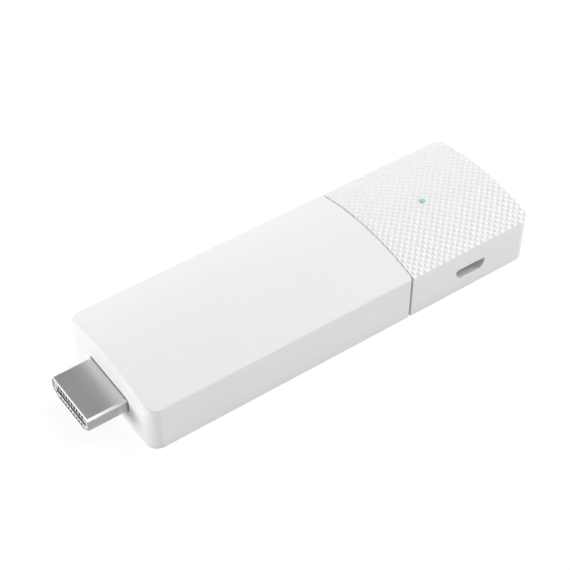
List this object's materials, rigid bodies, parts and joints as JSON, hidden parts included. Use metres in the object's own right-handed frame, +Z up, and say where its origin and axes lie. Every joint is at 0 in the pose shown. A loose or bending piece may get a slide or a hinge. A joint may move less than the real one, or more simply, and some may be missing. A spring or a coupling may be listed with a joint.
{
  "type": "streaming media stick",
  "caption": "Slim white stick housing with a rigid display plug at one end, a small power socket in one side, a diamond-textured rear cover and a status light.",
  "frame": {"origin": "on the table, under the middle of the whole stick with its plug", "axes": "+X from the plug towards the textured end, +Z up through the crowned top, the power socket faces -Y"},
  "size_m": [0.104, 0.0312, 0.0134],
  "materials": {
    "white_plastic": "satin moulded",
    "relief_white_plastic": "satin, moulded diamond relief",
    "teal_lens": "translucent lens",
    "plug_steel": "satin",
    "grey_insulator": "moulded",
    "gold_plate": "gold flash",
    "black_resin": "moulded",
    "board_green": "solder resist",
    "tin_plate": "tinned",
    "pad_grey": "soft matte",
    "spreader_aluminium": "rolled",
    "antenna_copper": "bare copper alloy",
    "ferrite_grey": "sintered",
    "ceramic_tan": "fired"
  },
  "bodies": {
    "root": {"front_case": "white_plastic", "front_cover": "white_plastic", "rear_case": "white_plastic", "rear_cover": "relief_white_plastic", "light_pipe": "teal_lens", "plug_shell": "plug_steel", "usb_shell": "plug_steel", "board_screw_1": "plug_steel", "board_screw_2": "plug_steel", "board_screw_3": "plug_steel", "board_screw_4": "plug_steel", "plug_insulator": "grey_insulator", "plug_contact_upper_1": "gold_plate", "plug_contact_upper_2": "gold_plate", "plug_contact_upper_3": "gold_plate", "plug_contact_upper_4": "gold_plate", "plug_contact_upper_5": "gold_plate", "plug_contact_upper_6": "gold_plate", "plug_contact_upper_7": "gold_plate", "plug_contact_upper_8": "gold_plate", "plug_contact_upper_9": "gold_plate", "plug_contact_upper_10": "gold_plate", "plug_contact_lower_1": "gold_plate", "plug_contact_lower_2": "gold_plate", "plug_contact_lower_3": "gold_plate", "plug_contact_lower_4": "gold_plate", "plug_contact_lower_5": "gold_plate", "plug_contact_lower_6": "gold_plate", "plug_contact_lower_7": "gold_plate", "plug_contact_lower_8": "gold_plate", "plug_contact_lower_9": "gold_plate", "usb_contact_1": "gold_plate", "usb_contact_2": "gold_plate", "usb_contact_3": "gold_plate", "usb_contact_4": "gold_plate", "usb_contact_5": "gold_plate", "usb_tongue": "black_resin", "processor": "black_resin", "memory_1": "black_resin", "memory_2": "black_resin", "flash_storage": "black_resin", "power_chip": "black_resin", "main_board": "board_green", "wifi_board": "board_green", "processor_shield": "tin_plate", "wifi_shield": "tin_plate", "clock_crystal": "tin_plate", "processor_pad": "pad_grey", "shield_pad": "pad_grey", "heat_spreader": "spreader_aluminium", "antenna_left": "antenna_copper", "antenna_right": "antenna_copper", "inductor_1": "ferrite_grey", "inductor_2": "ferrite_grey", "bulk_capacitor_1": "ceramic_tan", "bulk_capacitor_2": "ceramic_tan", "status_led": "ceramic_tan"}
  },
  "joints": []
}
